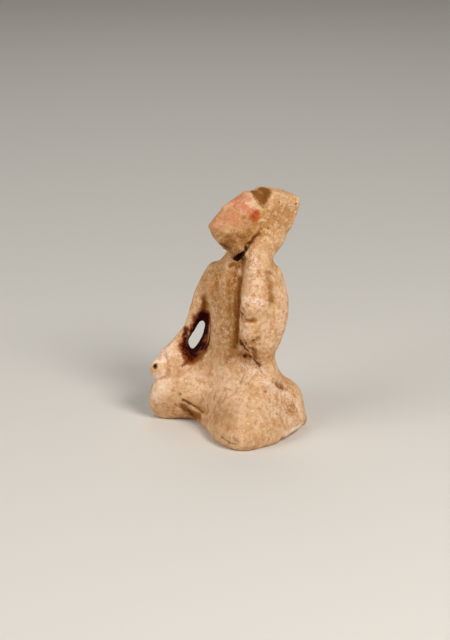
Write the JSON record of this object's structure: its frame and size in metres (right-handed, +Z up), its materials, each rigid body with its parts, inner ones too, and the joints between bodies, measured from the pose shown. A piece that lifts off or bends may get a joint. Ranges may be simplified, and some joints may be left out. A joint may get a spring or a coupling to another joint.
{
  "type": "pottery musician figurine",
  "caption": "Hand-modelled pottery figurine of a kneeling musician, chin raised, a hand on the knee and the other arm folded up beside the head; stands on its flat base.",
  "frame": {"origin": "on the flat underside, below the middle of the figure's box", "axes": "+Z up from the underside to the cap, -Y the way the chest and knees face, +X to the figure's left"},
  "size_m": [0.0758, 0.0598, 0.12],
  "materials": {
    "fired_clay": "unglazed, matt, with a worn pale slip"
  },
  "bodies": {
    "root": {"musician_figurine": "fired_clay"}
  },
  "joints": []
}
